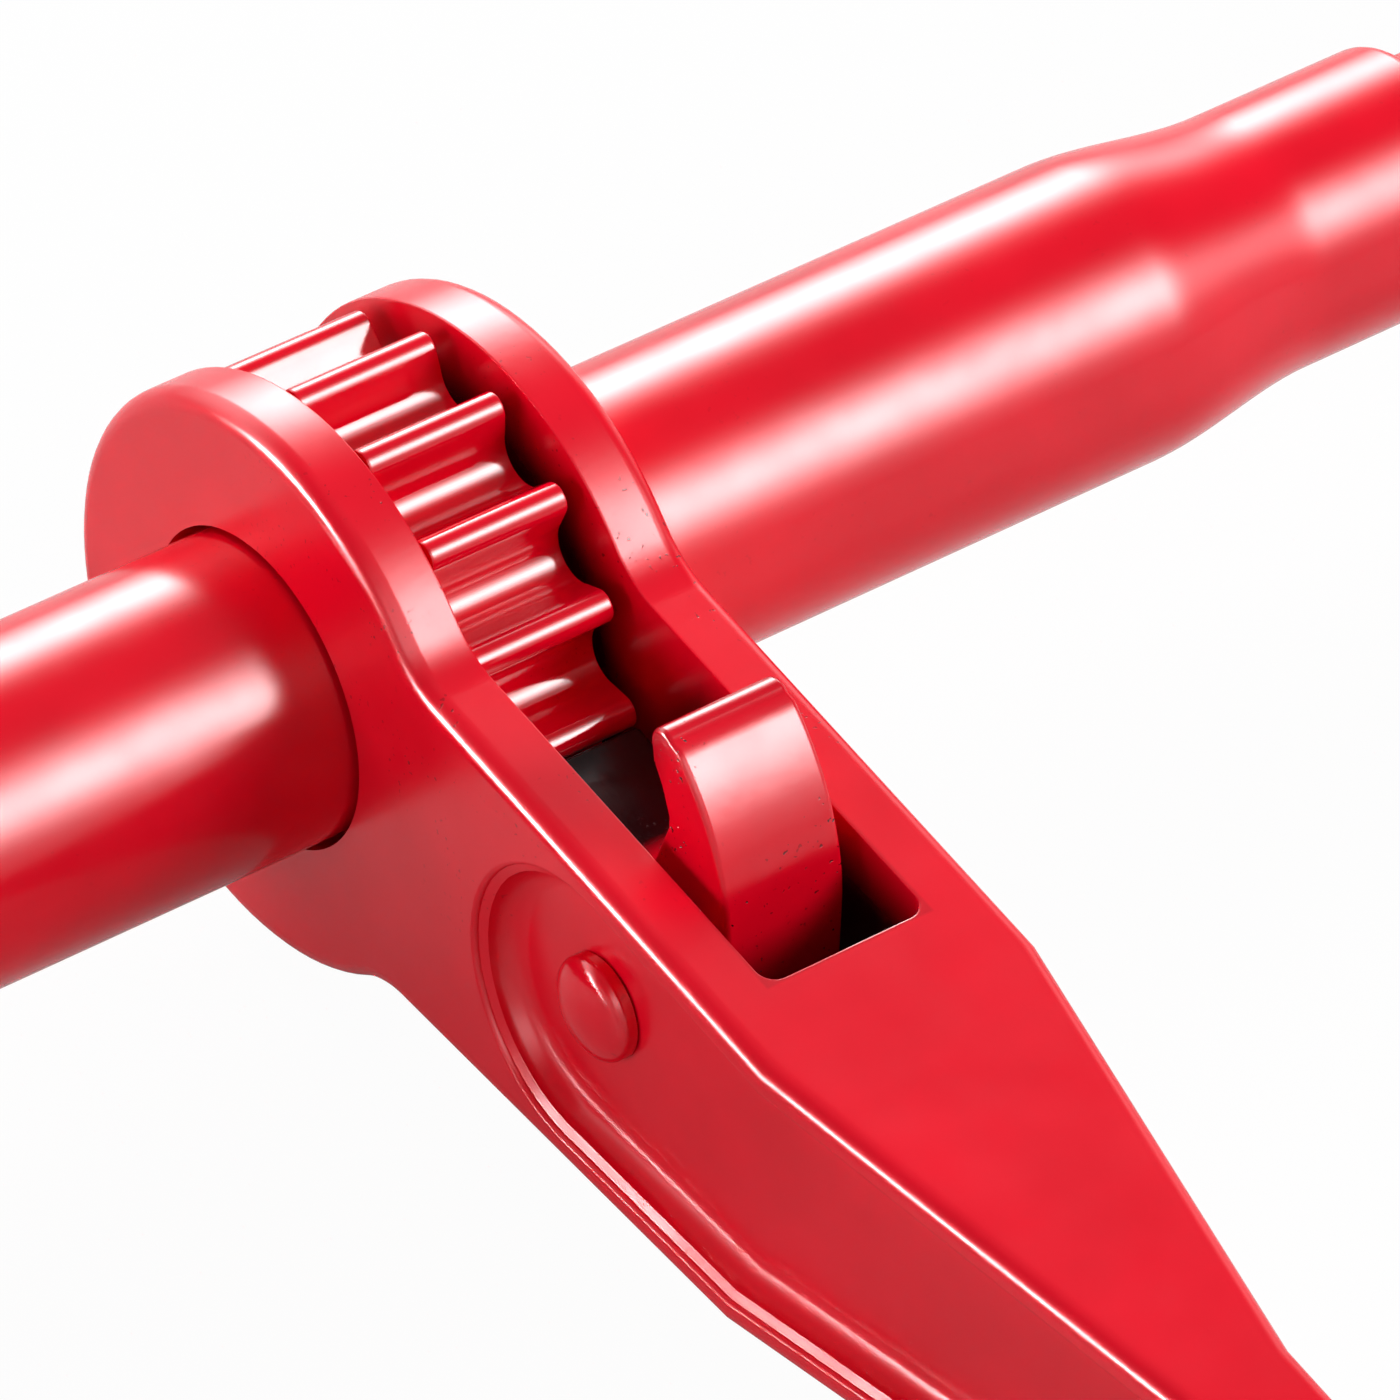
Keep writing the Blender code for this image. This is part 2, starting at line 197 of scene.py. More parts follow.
def remap(tree, value, low, high, to_low=0.0, to_high=1.0):
    """The value stretched from one span to another and held at its ends."""
    node = tree.nodes.new("ShaderNodeMapRange")
    for key, number in (("From Min", low), ("From Max", high), ("To Min", to_low), ("To Max", to_high)):
        node.inputs[key].default_value = number
    link(tree, value, node.inputs["Value"])
    return node.outputs["Result"]


def reckon(tree, kind, first, second=0.0):
    """Two values joined by a Math node of this kind. A plain number is set on its socket."""
    node = tree.nodes.new("ShaderNodeMath")
    node.operation = kind
    for socket, part in zip(node.inputs, (first, second)):
        if isinstance(part, (int, float)):
            socket.default_value = part
        else:
            link(tree, part, socket)
    return node.outputs[0]


def tint(tree, mask, first, second):
    """A colour that goes from the first to the second with the mask."""
    node = tree.nodes.new("ShaderNodeMix")
    node.data_type = "RGBA"
    link(tree, mask, node.inputs["Factor"])
    for socket, part in ((node.inputs[6], first), (node.inputs[7], second)):
        if isinstance(part, tuple):
            socket.default_value = part
        else:
            link(tree, part, socket)
    return node.outputs[2]


def paint_group():
    """Sprayed gloss paint: thick and thin stretches, orange peel, forging scale, lines, pits, and painted
    shade where light would not reach.
    """
    group = bpy.data.node_groups.new("gloss_paint", "ShaderNodeTree")
    new_socket(group, "Paint", "NodeSocketColor", "INPUT", (0.75, 0.001, 0.016, 1))
    new_socket(group, "Thin paint", "NodeSocketColor", "INPUT", (0.66, 0.0008, 0.013, 1))
    new_socket(group, "Gloss", "NodeSocketFloat", "INPUT", 0.3)
    new_socket(group, "Peel", "NodeSocketFloat", "INPUT", 0.2)
    new_socket(group, "Forging", "NodeSocketFloat", "INPUT", 0.2)
    new_socket(group, "Pits", "NodeSocketFloat", "INPUT", 0.2)
    new_socket(group, "Drawn", "NodeSocketFloat", "INPUT", 0.0)
    new_socket(group, "Painted shade", "NodeSocketFloat", "INPUT", 0.0)
    new_socket(group, "Color", "NodeSocketColor", "OUTPUT")
    new_socket(group, "Roughness", "NodeSocketFloat", "OUTPUT")
    new_socket(group, "Height", "NodeSocketFloat", "OUTPUT")
    ins = group.nodes.new("NodeGroupInput").outputs
    outs = group.nodes.new("NodeGroupOutput").inputs
    coords = group.nodes.new("ShaderNodeTexCoord").outputs["Object"]
    thick = remap(group, noise(group, coords, 38, 3.0), 0.38, 0.66)
    peel = noise(group, coords, 850, 1.0)
    scale = noise(group, coords, 260, 2.0, 0.5)
    where = remap(group, noise(group, coords, 70, 2.0), 0.52, 0.64)
    specks = remap(group, noise(group, coords, 1250, 1.0), 0.69, 0.73)
    pits = reckon(group, "MULTIPLY", reckon(group, "MULTIPLY", where, specks), ins["Pits"])
    worn = tint(group, thick, ins["Thin paint"], ins["Paint"])
    pitted = tint(group, pits, worn, pit_colour)
    # This last mix darkens the colour to near black as painted shade.
    link(group, tint(group, ins["Painted shade"], pitted, painted_shade_colour), outs["Color"])
    haze = remap(group, noise(group, coords, 120, 3.0), 0.3, 0.7, -0.03, 0.03)
    link(group, reckon(group, "ADD", ins["Gloss"], haze), outs["Roughness"])
    rough_skin = reckon(group, "MULTIPLY", scale, ins["Forging"])
    skin = reckon(group, "ADD", reckon(group, "MULTIPLY", peel, ins["Peel"]), rough_skin)
    stretched = group.nodes.new("ShaderNodeMapping")
    stretched.inputs["Scale"].default_value = (0.02, 1, 1)
    link(group, coords, stretched.inputs["Vector"])
    drawn = noise(group, stretched.outputs["Vector"], 1100, 2.0)
    skin = reckon(group, "ADD", skin, reckon(group, "MULTIPLY", drawn, ins["Drawn"]))
    link(group, reckon(group, "SUBTRACT", skin, pits), outs["Height"])
    return group


gloss_paint = paint_group()


def painted(name, gloss, peel, forging, pits, pitted=None, shade_mask=None):
    """One mix of the red: its gloss, peel, forging scale and pits, where it is pitted, and where painted
    shade darkens it.
    """
    material = bpy.data.materials.new(name)
    material.use_nodes = True
    tree = material.node_tree
    shader = tree.nodes["Principled BSDF"]
    coat = tree.nodes.new("ShaderNodeGroup")
    coat.name = "paint"
    coat.node_tree = gloss_paint
    for key, value in (("Gloss", gloss), ("Peel", peel), ("Forging", forging), ("Pits", pits)):
        coat.inputs[key].default_value = value
    if pitted is not None:
        pitted_at, all_pits, no_pits = pitted
        coords = tree.nodes.new("ShaderNodeTexCoord").outputs["Object"]
        away = tree.nodes.new("ShaderNodeVectorMath")
        away.operation = "DISTANCE"
        link(tree, coords, away.inputs[0])
        away.inputs[1].default_value = pitted_at
        near = remap(tree, away.outputs["Value"], all_pits, no_pits, pits, 0.0)
        link(tree, near, coat.inputs["Pits"])
    if shade_mask is not None:
        link(tree, shade_mask(tree), coat.inputs["Painted shade"])
    bump = tree.nodes.new("ShaderNodeBump")
    bump.inputs["Strength"].default_value = 0.5
    bump.inputs["Distance"].default_value = 0.00006
    link(tree, coat.outputs["Height"], bump.inputs["Height"])
    link(tree, coat.outputs["Color"], shader.inputs["Base Color"])
    link(tree, coat.outputs["Roughness"], shader.inputs["Roughness"])
    link(tree, bump.outputs["Normal"], shader.inputs["Normal"])
    return material


def fit(piece, material, body, node):
    """Paints a finished piece and lets it stand for its node on the body that carries it."""
    piece.data.materials.clear()
    piece.data.materials.append(material)
    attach(piece, body)
    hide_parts(node)


ease = [i / swage_steps for i in range(swage_steps + 1)]
swage = []
for t in ease:
    drawn_down = (tube_r - neck_r) * (3 - 2 * t) * t * t
    swage.append((neck_from + (neck_to - neck_from) * t, tube_r - drawn_down))
rounded = arc((tube_end - end_round, neck_r - end_round), end_round, math.pi / 2, 0, 6)
bore = [(tube_end, screw_r + clearance), (bore_end + bore_cone, screw_r + clearance), (bore_end, bore_r)]
half_tube = swage + rounded + bore
tube = turn("painted_tube", half_tube + [(-along, radius) for along, radius in reversed(half_tube)])
place(tube, axis)
soften(tube)
tube_red = painted("tube_red", gloss=0.2, peel=0.1, forging=0.0, pits=0.1)
fit(tube, tube_red, "barrel", "barrel_tube")


# The ratchet gear is a steel ring fixed round the middle of the barrel, with sixteen rounded teeth. One tooth
# and valley are drawn as arcs, spun round sixteen times, filled, drawn out to the gear's width and bored for
# the tube. It stands turned with the handle's droop.
teeth = 16
gear_r = 0.0395
root_r = 0.0318
valley_r = 0.0042
tip_r = 0.0023
tip_sweep = math.radians(76)
valley_sweep = math.radians(74)
gear_phase = math.radians(5.65)
gear_half = 0.0105
gear_x = -0.001
gear_edge = 0.0004
droop = math.radians(5.0768)


def flat_plate(piece, half):
    """Fills a closed outline that lies in the plane of the handle's side and draws it out to both sides."""
    close_up(piece)
    edit(piece)
    bpy.ops.mesh.select_all(action="SELECT")
    bpy.ops.mesh.edge_face_add()
    bpy.ops.transform.translate(value=(-half, 0, 0))
    bpy.ops.mesh.extrude_region_move(TRANSFORM_OT_translate={"value": (2 * half, 0, 0)})
    close_up(piece)


def round_edges(piece, width, segments, sharpness=40):
    """Rounds every edge that is sharper than this angle."""
    edit(piece, "EDGE")
    bpy.ops.mesh.edges_select_sharp(sharpness=math.radians(sharpness))
    bpy.ops.mesh.bevel(offset=width, segments=segments, profile=0.5, affect="EDGES", clamp_overlap=True)
    close_up(piece)


def cut(piece, cutter, operation="DIFFERENCE"):
    """Cuts one piece with another, which is then deleted."""
    apply(piece, "BOOLEAN", operation=operation, object=cutter, solver="EXACT")
    bpy.data.objects.remove(cutter, do_unlink=True)


def drill(piece, radius, half, y=0.0, z=0.0, steps=96):
    """A round hole through the piece along the barrel's direction."""
    hole = turn("drill", [(-half, 0), (-half, radius), (half, radius), (half, 0)], steps, closed=False)
    place(hole, (0, y, z))
    cut(piece, hole)


pitch = 2 * math.pi / teeth
middle = gear_phase + pitch / 2
tip_centre = ((gear_r - tip_r) * math.cos(middle), (gear_r - tip_r) * math.sin(middle))
tooth = arc(tip_centre, tip_r, middle - tip_sweep, middle + tip_sweep, 12)
valley = middle + pitch / 2
valley_centre = ((root_r + valley_r) * math.cos(valley), (root_r + valley_r) * math.sin(valley))
inward = valley + math.pi
tooth += arc(valley_centre, valley_r, inward + valley_sweep, inward - valley_sweep, 16)
first_h, first_z = tooth[0]
turned_h = first_h * math.cos(pitch) - first_z * math.sin(pitch)
turned_z = first_h * math.sin(pitch) + first_z * math.cos(pitch)
gear = trace("toothed_ring", [(0, -h, z) for h, z in tooth + [(turned_h, turned_z)]])
edit(gear)
bpy.ops.mesh.select_all(action="SELECT")
bpy.ops.mesh.spin(steps=teeth, dupli=True, angle=2 * math.pi, center=(0, 0, 0), axis=(1, 0, 0))
flat_plate(gear, gear_half)
round_edges(gear, gear_edge, segments=2, sharpness=70)
drill(gear, tube_r + clearance, 2 * gear_half)
place(gear, axis + Vector((gear_x, 0, 0)), droop)
soften(gear, angle=28)
gear_red = painted("gear_red", gloss=0.1, peel=0.05, forging=0.03, pits=0.2)
gear_red.node_tree.nodes["paint"].inputs["Drawn"].default_value = 0.5
fit(gear, gear_red, "barrel", "ratchet_gear")


# The handle is one drop forging: a ring head slotted into two cheeks, a throat, and an I-beam grip. Its side
# is drawn, drawn out to the head's width, bisected and drawn in for the grip, and its edges are rounded. The
# hollows, the slot and the bores are then cut, as the forging is pressed and machined.
ring_r = 0.0401
throat_r = 0.014
top_z = 0.0267
grip_end = 0.345
end_r = 0.0105
head_half = 0.0214
grip_half = 0.009
taper_from = 0.103
taper_to = 0.170
edge_round = 0.0028
flange = 0.0056
hollow_depth = 0.0052
hollow_end = 0.322
hollow_fillet = 0.0038
hollow_rim = 0.0008
hollow_draft = 0.0012
pin_h = 0.0676
pin_r = 0.005
cheek_bore_r = 0.0221
slot_half = 0.0122
slot_end = 0.0923
slot_corner = 0.0025
slot_edge = 0.0004
hair = 1e-5
rounding_steps = 7
plunger_r = 0.003
plunger_bore_to = 0.1235
end_h = grip_end - end_r
throat_z = top_z + throat_r
throat_h = math.sqrt((ring_r + throat_r) ** 2 - throat_z ** 2)
meet = math.atan2(throat_z, throat_h)


def top_at(h):
    """Height of the handle's top face over its centre line, this far from the barrel."""
    return top_z + (end_r - top_z) * (h - throat_h) / (end_h - throat_h)


def draw_in(piece, shift):
    """Narrows the piece to the grip's width: cut across at both ends of the taper, then moved in."""
    for place_h in (taper_from, taper_to):
        edit(piece)
        bpy.ops.mesh.select_all(action="SELECT")
        bpy.ops.mesh.bisect(plane_co=(0, -place_h, 0), plane_no=(0, 1, 0))
    for side in (1, -1):
        choose(piece, lambda co, side=side: -co.y > taper_to - hair and side * co.x > hair)
        bpy.ops.transform.translate(value=(-side * shift, 0, 0))
    pick(piece)


head = arc((0, 0), ring_r, meet, 2 * math.pi - meet, 72)
lower = arc((throat_h, -throat_z), throat_r, math.pi - meet, math.pi / 2, 12)
end = arc((end_h, 0), end_r, -math.pi / 2, math.pi / 2, 20)
upper = arc((throat_h, throat_z), throat_r, -math.pi / 2, meet - math.pi, 12)
side_line = head + lower[1:] + end + upper[1:]
handle = trace("forged_handle", [(0, -h, z) for h, z in side_line])
flat_plate(handle, head_half)
draw_in(handle, head_half - grip_half)
round_edges(handle, edge_round, segments=6)

near_r = top_at(pin_h) - flange + hollow_rim + hollow_draft
far_r = top_at(hollow_end) - flange + hollow_rim + hollow_draft
hollow_line = arc((pin_h, 0), near_r, math.pi / 2, 3 * math.pi / 2, 24)
hollow_line += arc((hollow_end, 0), far_r, -math.pi / 2, math.pi / 2, 16)
hollow_line.append(hollow_line[0])
hollow = trace("hollow", [(head_half, -h, z) for h, z in hollow_line])
close_up(hollow)
edit(hollow)
bpy.ops.mesh.select_all(action="SELECT")
bpy.ops.mesh.edge_face_add()
bpy.ops.mesh.extrude_region_move(TRANSFORM_OT_translate={"value": (hollow_rim, 0, 0)})
close_up(hollow)
quarter = [math.pi / 2 * (i + 1) / rounding_steps for i in range(rounding_steps)]
rim_run = [(hollow_rim * math.sin(a), hollow_rim * (1 - math.cos(a))) for a in quarter]
wall_in = hollow_rim + hollow_draft
floor_from = hollow_depth - hollow_fillet
floor_run = []
for a in quarter:
    floor_run.append((wall_in + hollow_fillet * (1 - math.cos(a)), floor_from + hollow_fillet * math.sin(a)))
choose(hollow, lambda co: co.x < head_half + hair)
inset_run = rim_run + [(wall_in, floor_from)] + floor_run
for (was_in, was_deep), (now_in, now_deep) in zip([(0, 0)] + inset_run, inset_run):
    bpy.ops.mesh.inset(thickness=now_in - was_in, depth=now_deep - was_deep, use_even_offset=True)
close_up(hollow)
draw_in(hollow, head_half - grip_half)
pick(hollow)
bpy.ops.object.duplicate()
other_hollow = bpy.context.object
other_hollow.scale = (-1, 1, 1)
bpy.ops.object.transform_apply(location=True, rotation=True, scale=True)
close_up(other_hollow)
cut(handle, hollow)
cut(handle, other_hollow)

corner_h = slot_end - slot_corner
corner_x = slot_half - slot_corner
slot_line = [(-2 * ring_r, -slot_half)] + arc((corner_h, -corner_x), slot_corner, -math.pi / 2, 0, 8)
slot_line += arc((corner_h, corner_x), slot_corner, 0, math.pi / 2, 8) + [(-2 * ring_r, slot_half)]
slot = trace("slot", [(x, -h, -2 * ring_r) for h, x in slot_line + slot_line[:1]])
close_up(slot)
edit(slot)
bpy.ops.mesh.select_all(action="SELECT")
bpy.ops.mesh.edge_face_add()
bpy.ops.mesh.extrude_region_move(TRANSFORM_OT_translate={"value": (0, 0, 4 * ring_r)})
close_up(slot)
cut(handle, slot)
close_up(handle)
edit(handle, "EDGE")
bpy.ops.mesh.edges_select_sharp(sharpness=math.radians(60))
bpy.ops.object.mode_set(mode="OBJECT")
for line in handle.data.edges:
    ends = [handle.data.vertices[i].co for i in line.vertices]
    in_slot = all(abs(co.x) < slot_half + hair and -co.y < slot_end + hair for co in ends)
    line.select = line.select and in_slot
bpy.ops.object.mode_set(mode="EDIT")
bpy.ops.mesh.bevel(offset=slot_edge, segments=2, profile=0.5, affect="EDGES", clamp_overlap=True)
drill(handle, cheek_bore_r, 2 * head_half)
drill(handle, pin_r + clearance, 2 * head_half, -pin_h, steps=48)
bore_half = (plunger_bore_to - corner_h) / 2
bore_wall = plunger_r + clearance
bore_line = [(-bore_half, 0), (-bore_half, bore_wall), (bore_half, bore_wall), (bore_half, 0)]
plunger_hole = turn("plunger_hole", bore_line, steps=32, closed=False)
pick(plunger_hole)
plunger_hole.rotation_euler = (0, 0, math.pi / 2)
plunger_hole.location = (0, -corner_h - bore_half, 0)
bpy.ops.object.transform_apply(location=True, rotation=True, scale=True)
cut(handle, plunger_hole)
close_up(handle)
place(handle, axis, droop)
soften(handle, angle=30)
throat_top = axis + Vector((0, -0.037, 0.026))
pitted_throat = (throat_top, 0.022, 0.05)
# Painted shade in the slot starts this deep in the forging and is full this deep.
shade_from = 0.0008
shade_full = 0.012
throat_run = 0.01


def along_handle(tree):
    """The place on the handle: across it, out from the barrel and up, from the barrel's axis at its droop."""
    turned = tree.nodes.new("ShaderNodeMapping")
    turned.vector_type = "TEXTURE"
    turned.inputs["Location"].default_value = axis
    turned.inputs["Rotation"].default_value = (droop, 0, 0)
    link(tree, tree.nodes.new("ShaderNodeTexCoord").outputs["Object"], turned.inputs["Vector"])
    split = tree.nodes.new("ShaderNodeSeparateXYZ")
    link(tree, turned.outputs["Vector"], split.inputs[0])
    out = reckon(tree, "MULTIPLY", split.outputs["Y"], -1.0)
    return reckon(tree, "ABSOLUTE", split.outputs["X"]), out, split.outputs["Z"]


def slot_painted_shade(tree):
    """Painted shade in the slot: none on the outside, and darker the deeper a place lies in the forging."""
    across, out, up = along_handle(tree)
    squares = reckon(tree, "ADD", reckon(tree, "POWER", out, 2.0), reckon(tree, "POWER", up, 2.0))
    reach = reckon(tree, "SQRT", squares)
    under_ring = reckon(tree, "SUBTRACT", ring_r, reach)
    under_top = reckon(tree, "SUBTRACT", top_z, reckon(tree, "ABSOLUTE", up))
    past_ring = remap(tree, out, throat_h, throat_h + throat_run)
    deep = reckon(tree, "MULTIPLY", under_ring, reckon(tree, "SUBTRACT", 1.0, past_ring))
    deep = reckon(tree, "ADD", deep, reckon(tree, "MULTIPLY", under_top, past_ring))
    inside = remap(tree, across, slot_half + 2 * slot_edge, slot_half + slot_edge)
    before_end = remap(tree, out, slot_end + 2 * slot_edge, slot_end + slot_edge)
    inside = reckon(tree, "MULTIPLY", inside, before_end)
    return reckon(tree, "MULTIPLY", inside, remap(tree, deep, shade_from, shade_full))


# The inside of the handle's slot is darkened as painted shade.
handle_red = painted(
    "handle_red",
    gloss=0.24,
    peel=0.3,
    forging=0.15,
    pits=0.9,
    pitted=pitted_throat,
    shade_mask=slot_painted_shade,
)
fit(handle, handle_red, "handle", "handle")


# The pawl is a forged two-way finger on the rivet: a tooth for each way of turning and a thumb horn above and
# below the slot. Its upper half is drawn and mirrored, drawn out to its width, rounded and bored.
tooth_reach = 0.0311
tooth_angle = math.radians(27)
pawl_half = 0.0091
pawl_edge = 0.0008
pawl_tilt = math.radians(6)
# Painted shade on the pawl's arms runs from the first of these distances before the rivet to the second.
arm_from = 0.002
arm_shade_to = 0.010
pawl_tooth = (-tooth_reach * math.cos(tooth_angle), tooth_reach * math.sin(tooth_angle))
tooth_line = [(-0.0205, 0.004), (-0.0255, 0.0095), pawl_tooth, (-0.0225, 0.0128)]
arm_top = [(-0.011, 0.0135), (-0.001, 0.0190)]
horn_front = [(0.0012, 0.0250), (0.0018, 0.0268), (0.0018, 0.0285), (0.0001, 0.0324), (-0.0017, 0.0351)]
horn_tip = arc((0.0002, 0.0384), 0.0025, math.radians(195), math.radians(45), 10)
horn_back = arc((-0.0185, 0.0146), 0.0334, math.radians(49), 0, 20)
pawl_upper = tooth_line + arm_top + horn_front + horn_tip + horn_back
pawl_line = pawl_upper + [(h, -z) for h, z in reversed(pawl_upper)]
pawl = trace("forged_pawl", [(0, -h, z) for h, z in pawl_line + pawl_line[:1]])
flat_plate(pawl, pawl_half)
round_edges(pawl, pawl_edge, segments=4, sharpness=60)
drill(pawl, pin_r + clearance, 2 * pawl_half, steps=48)
place(pawl, (0, -pin_h, 0), -pawl_tilt)
place(pawl, axis, droop)
soften(pawl, angle=32)


def arm_painted_shade(tree):
    """Painted shade on the pawl's two arms, from just in front of the rivet to the teeth that dip in the
    gear.
    """
    _, out, _ = along_handle(tree)
    return remap(tree, out, pin_h - arm_from, pin_h - arm_shade_to)


pawl_red = painted("pawl_red", gloss=0.2, peel=0.3, forging=1.4, pits=1.6, shade_mask=arm_painted_shade)
fit(pawl, pawl_red, "pawl", "pawl")


# The rivet that carries the pawl is a steel pin headed over at both ends into low domes, in the handle's
# hollows. It is turned round its length from a profile of pin, flat under the head, straight side and dome.
rivet_r = 0.0072
rivet_side = 0.0012
rivet_dome = 0.0028
dome_steps = 14
under_head = head_half - hollow_depth + clearance
rim_x = under_head + rivet_side
dome_angles = [math.pi / 2 * i / dome_steps for i in range(dome_steps + 1)]
dome = [(rim_x + rivet_dome * math.sin(a), rivet_r * math.cos(a)) for a in dome_angles]
half_rivet = [(under_head, pin_r), (under_head, rivet_r)] + dome
rivet = turn("domed_rivet", [(-x, r) for x, r in reversed(half_rivet)] + half_rivet, steps=64, closed=False)
place(rivet, (0, -pin_h, 0))
place(rivet, axis, droop)
soften(rivet, angle=40)
rivet_red = painted("rivet_red", gloss=0.16, peel=0.1, forging=0.1, pits=0.3)
fit(rivet, rivet_red, "handle", "pawl_pin")


# The plunger and its coil spring sit in a bore behind the slot and hold the pawl over to either side. They
# and the screws' stop pins keep their own solids and get bare metal: oiled steel, or dull plating.
def bare_metal(name, dark, light, gloss):
    """Plated or oiled steel: blotched grey with a fine grain and uneven gloss."""
    material = bpy.data.materials.new(name)
    material.use_nodes = True
    tree = material.node_tree
    shader = tree.nodes["Principled BSDF"]
    coords = tree.nodes.new("ShaderNodeTexCoord").outputs["Object"]
    blotch = remap(tree, noise(tree, coords, 400, 3.0), 0.35, 0.65)
    grain = noise(tree, coords, 2600, 1.0)
    link(tree, tint(tree, blotch, dark, light), shader.inputs["Base Color"])
    link(tree, remap(tree, grain, 0.3, 0.7, gloss - 0.08, gloss + 0.08), shader.inputs["Roughness"])
    bump = tree.nodes.new("ShaderNodeBump")
    bump.inputs["Strength"].default_value = 0.3
    bump.inputs["Distance"].default_value = 0.00005
    link(tree, grain, bump.inputs["Height"])
    link(tree, bump.outputs["Normal"], shader.inputs["Normal"])
    shader.inputs["Metallic"].default_value = 1.0
    return material


zinc = bare_metal("plunger_plating", (0.48, 0.48, 0.49, 1), (0.62, 0.62, 0.63, 1), 0.35)
oiled_steel = bare_metal("oiled_steel", (0.25, 0.25, 0.26, 1), (0.38, 0.38, 0.39, 1), 0.4)
bare_nodes = {
    "pawl_plunger": zinc,
    "plunger_spring": oiled_steel,
    "right_stop_pin": oiled_steel,
    "left_stop_pin": oiled_steel,
}
for node_name, metal in bare_nodes.items():
    node_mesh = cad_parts[node_name].data
    node_mesh.materials.clear()
    node_mesh.materials.append(metal)


# The two eye screws run in the barrel's ends, right hand at one and left hand at the other. Each is a forged
# bar with a rounded eye and a coarse rolled thread. The eye and its neck are joined and worked smooth, the
# thread is wound from one ridge, and the left screw is the right one mirrored.
screw_from = 0.020
thread_from = 0.022
thread_pitch = 0.006
thread_turns = 22
thread_depth = 0.0018
eye_x = 0.222
eye_hole_r = 0.013
eye_r = 0.025
eye_half = 0.008
eye_round = 0.0032
neck_length = 0.008
neck_draw = 0.45
neck_steps = 10
shank_from = 0.170
thread_end = 0.002
joint_overlap = 0.0005
weld_grain = 0.0008
weld_strokes = 10


def forged_eye(name, middle_x):
    """A flat eye with rounded edges, turned round the upright line through its hole."""
    outer_in = eye_r - eye_round
    hole_out = eye_hole_r + eye_round
    flat = eye_half - eye_round
    outline = arc((outer_in, flat), eye_round, 0, math.pi / 2, 6)
    outline += arc((hole_out, flat), eye_round, math.pi / 2, math.pi, 6)
    outline += [(r, -z) for r, z in reversed(outline)]
    eye = trace(name, [(middle_x + r, 0, z) for r, z in outline + outline[:1]])
    edit(eye)
    bpy.ops.mesh.select_all(action="SELECT")
    bpy.ops.mesh.spin(steps=72, angle=2 * math.pi, center=(middle_x, 0, 0), axis=(0, 0, 1))
    close_up(eye)
    return eye


def weld(piece, *others):
    """Joins closed shells into one mesh that has no seam between them, and works the joint smooth."""
    pick(piece)
    for other in others:
        other.select_set(True)
    bpy.ops.object.join()
    apply(piece, "REMESH", mode="VOXEL", voxel_size=weld_grain, use_smooth_shade=True)
    apply(piece, "SMOOTH", factor=0.5, iterations=weld_strokes)


def mirror_copy(piece, name):
    """The same piece for the other end of the barrel, with its own mesh."""
    pick(piece)
    bpy.ops.object.duplicate()
    copy = bpy.context.object
    copy.name = name
    copy.data.name = name
    copy.scale = (-1, 1, 1)
    bpy.ops.object.transform_apply(location=True, rotation=True, scale=True)
    close_up(copy)
    return copy


neck_end = eye_x - eye_r - neck_length
neck_root = eye_x - (eye_r + eye_hole_r) / 2
neck_ease = [i / neck_steps for i in range(neck_steps + 1)]
neck_run = []
for t in neck_ease:
    drawn_down = screw_r * neck_draw * (3 - 2 * t) * t * t
    neck_run.append((neck_end + (neck_root - neck_end) * t, screw_r - drawn_down))
shank_line = [(shank_from, 0), (shank_from, screw_r)] + neck_run + [(neck_root, 0)]
shank = turn("shank", shank_line, steps=64, closed=False)
screw = forged_eye("eye_screw", eye_x)
weld(screw, shank)
thread_to = thread_from + thread_pitch * thread_turns
root_screw_r = screw_r - thread_depth
core_to = shank_from + joint_overlap
core_line = [(screw_from, 0), (screw_from, root_screw_r), (thread_to, root_screw_r)]
core_line += [(thread_to + thread_end, screw_r), (core_to, screw_r), (core_to, 0)]
core = turn("core", core_line, steps=64, closed=False)
ridge_line = [(0, 0), (0.28, 0), (0.42, 1), (0.72, 1), (0.86, 0), (1, 0)]
ridge_points = [(along * thread_pitch, root_screw_r + rise * thread_depth, 0) for along, rise in ridge_line]
ridge = trace("ridge", ridge_points)
apply(
    ridge,
    "SCREW",
    axis="X",
    angle=2 * math.pi,
    steps=48,
    render_steps=48,
    screw_offset=thread_pitch,
    iterations=thread_turns - 1,
    use_merge_vertices=False,
)
place(ridge, (thread_from, 0, 0))
close_up(ridge)
pick(screw)
core.select_set(True)
ridge.select_set(True)
bpy.ops.object.join()
place(screw, axis)
left_screw = mirror_copy(screw, "left_eye_screw")
screw_paint = painted("screw_red", gloss=0.2, peel=0.15, forging=0.15, pits=0.3)
for piece, side_name in ((screw, "right"), (left_screw, "left")):
    soften(piece, angle=35)
    fit(piece, screw_paint, f"{side_name}_screw", f"{side_name}_screw")


# Each link is a round bar bent into an oval through the screw's eye and the hook's eye, closed with a weld.
# A round section is spun round each bend and drawn along each straight side, and one side swells at the weld.
link_r = 0.006
link_bend_r = 0.021
link_straight = 0.016
link_inner_x = 0.224
weld_swell = 1.1


def pull(steps_each, along):
    """Draws the selected section along a straight, in equal steps."""
    for _ in range(steps_each):
        bpy.ops.mesh.extrude_region_move(TRANSFORM_OT_translate={"value": Vector(along) / steps_each})


def section(name, centre, radius, turned_to, vertices=28):
    """A round section standing across the bar at its start."""
    if bpy.context.mode != "OBJECT":
        bpy.ops.object.mode_set(mode="OBJECT")
    bpy.ops.object.select_all(action="DESELECT")
    bpy.ops.mesh.primitive_circle_add(vertices=vertices, radius=radius, location=centre, rotation=turned_to)
    piece = bpy.context.object
    piece.name = name
    piece.data.name = name
    bpy.ops.object.transform_apply(location=True, rotation=True, scale=True)
    edit(piece)
    bpy.ops.mesh.select_all(action="SELECT")
    return piece


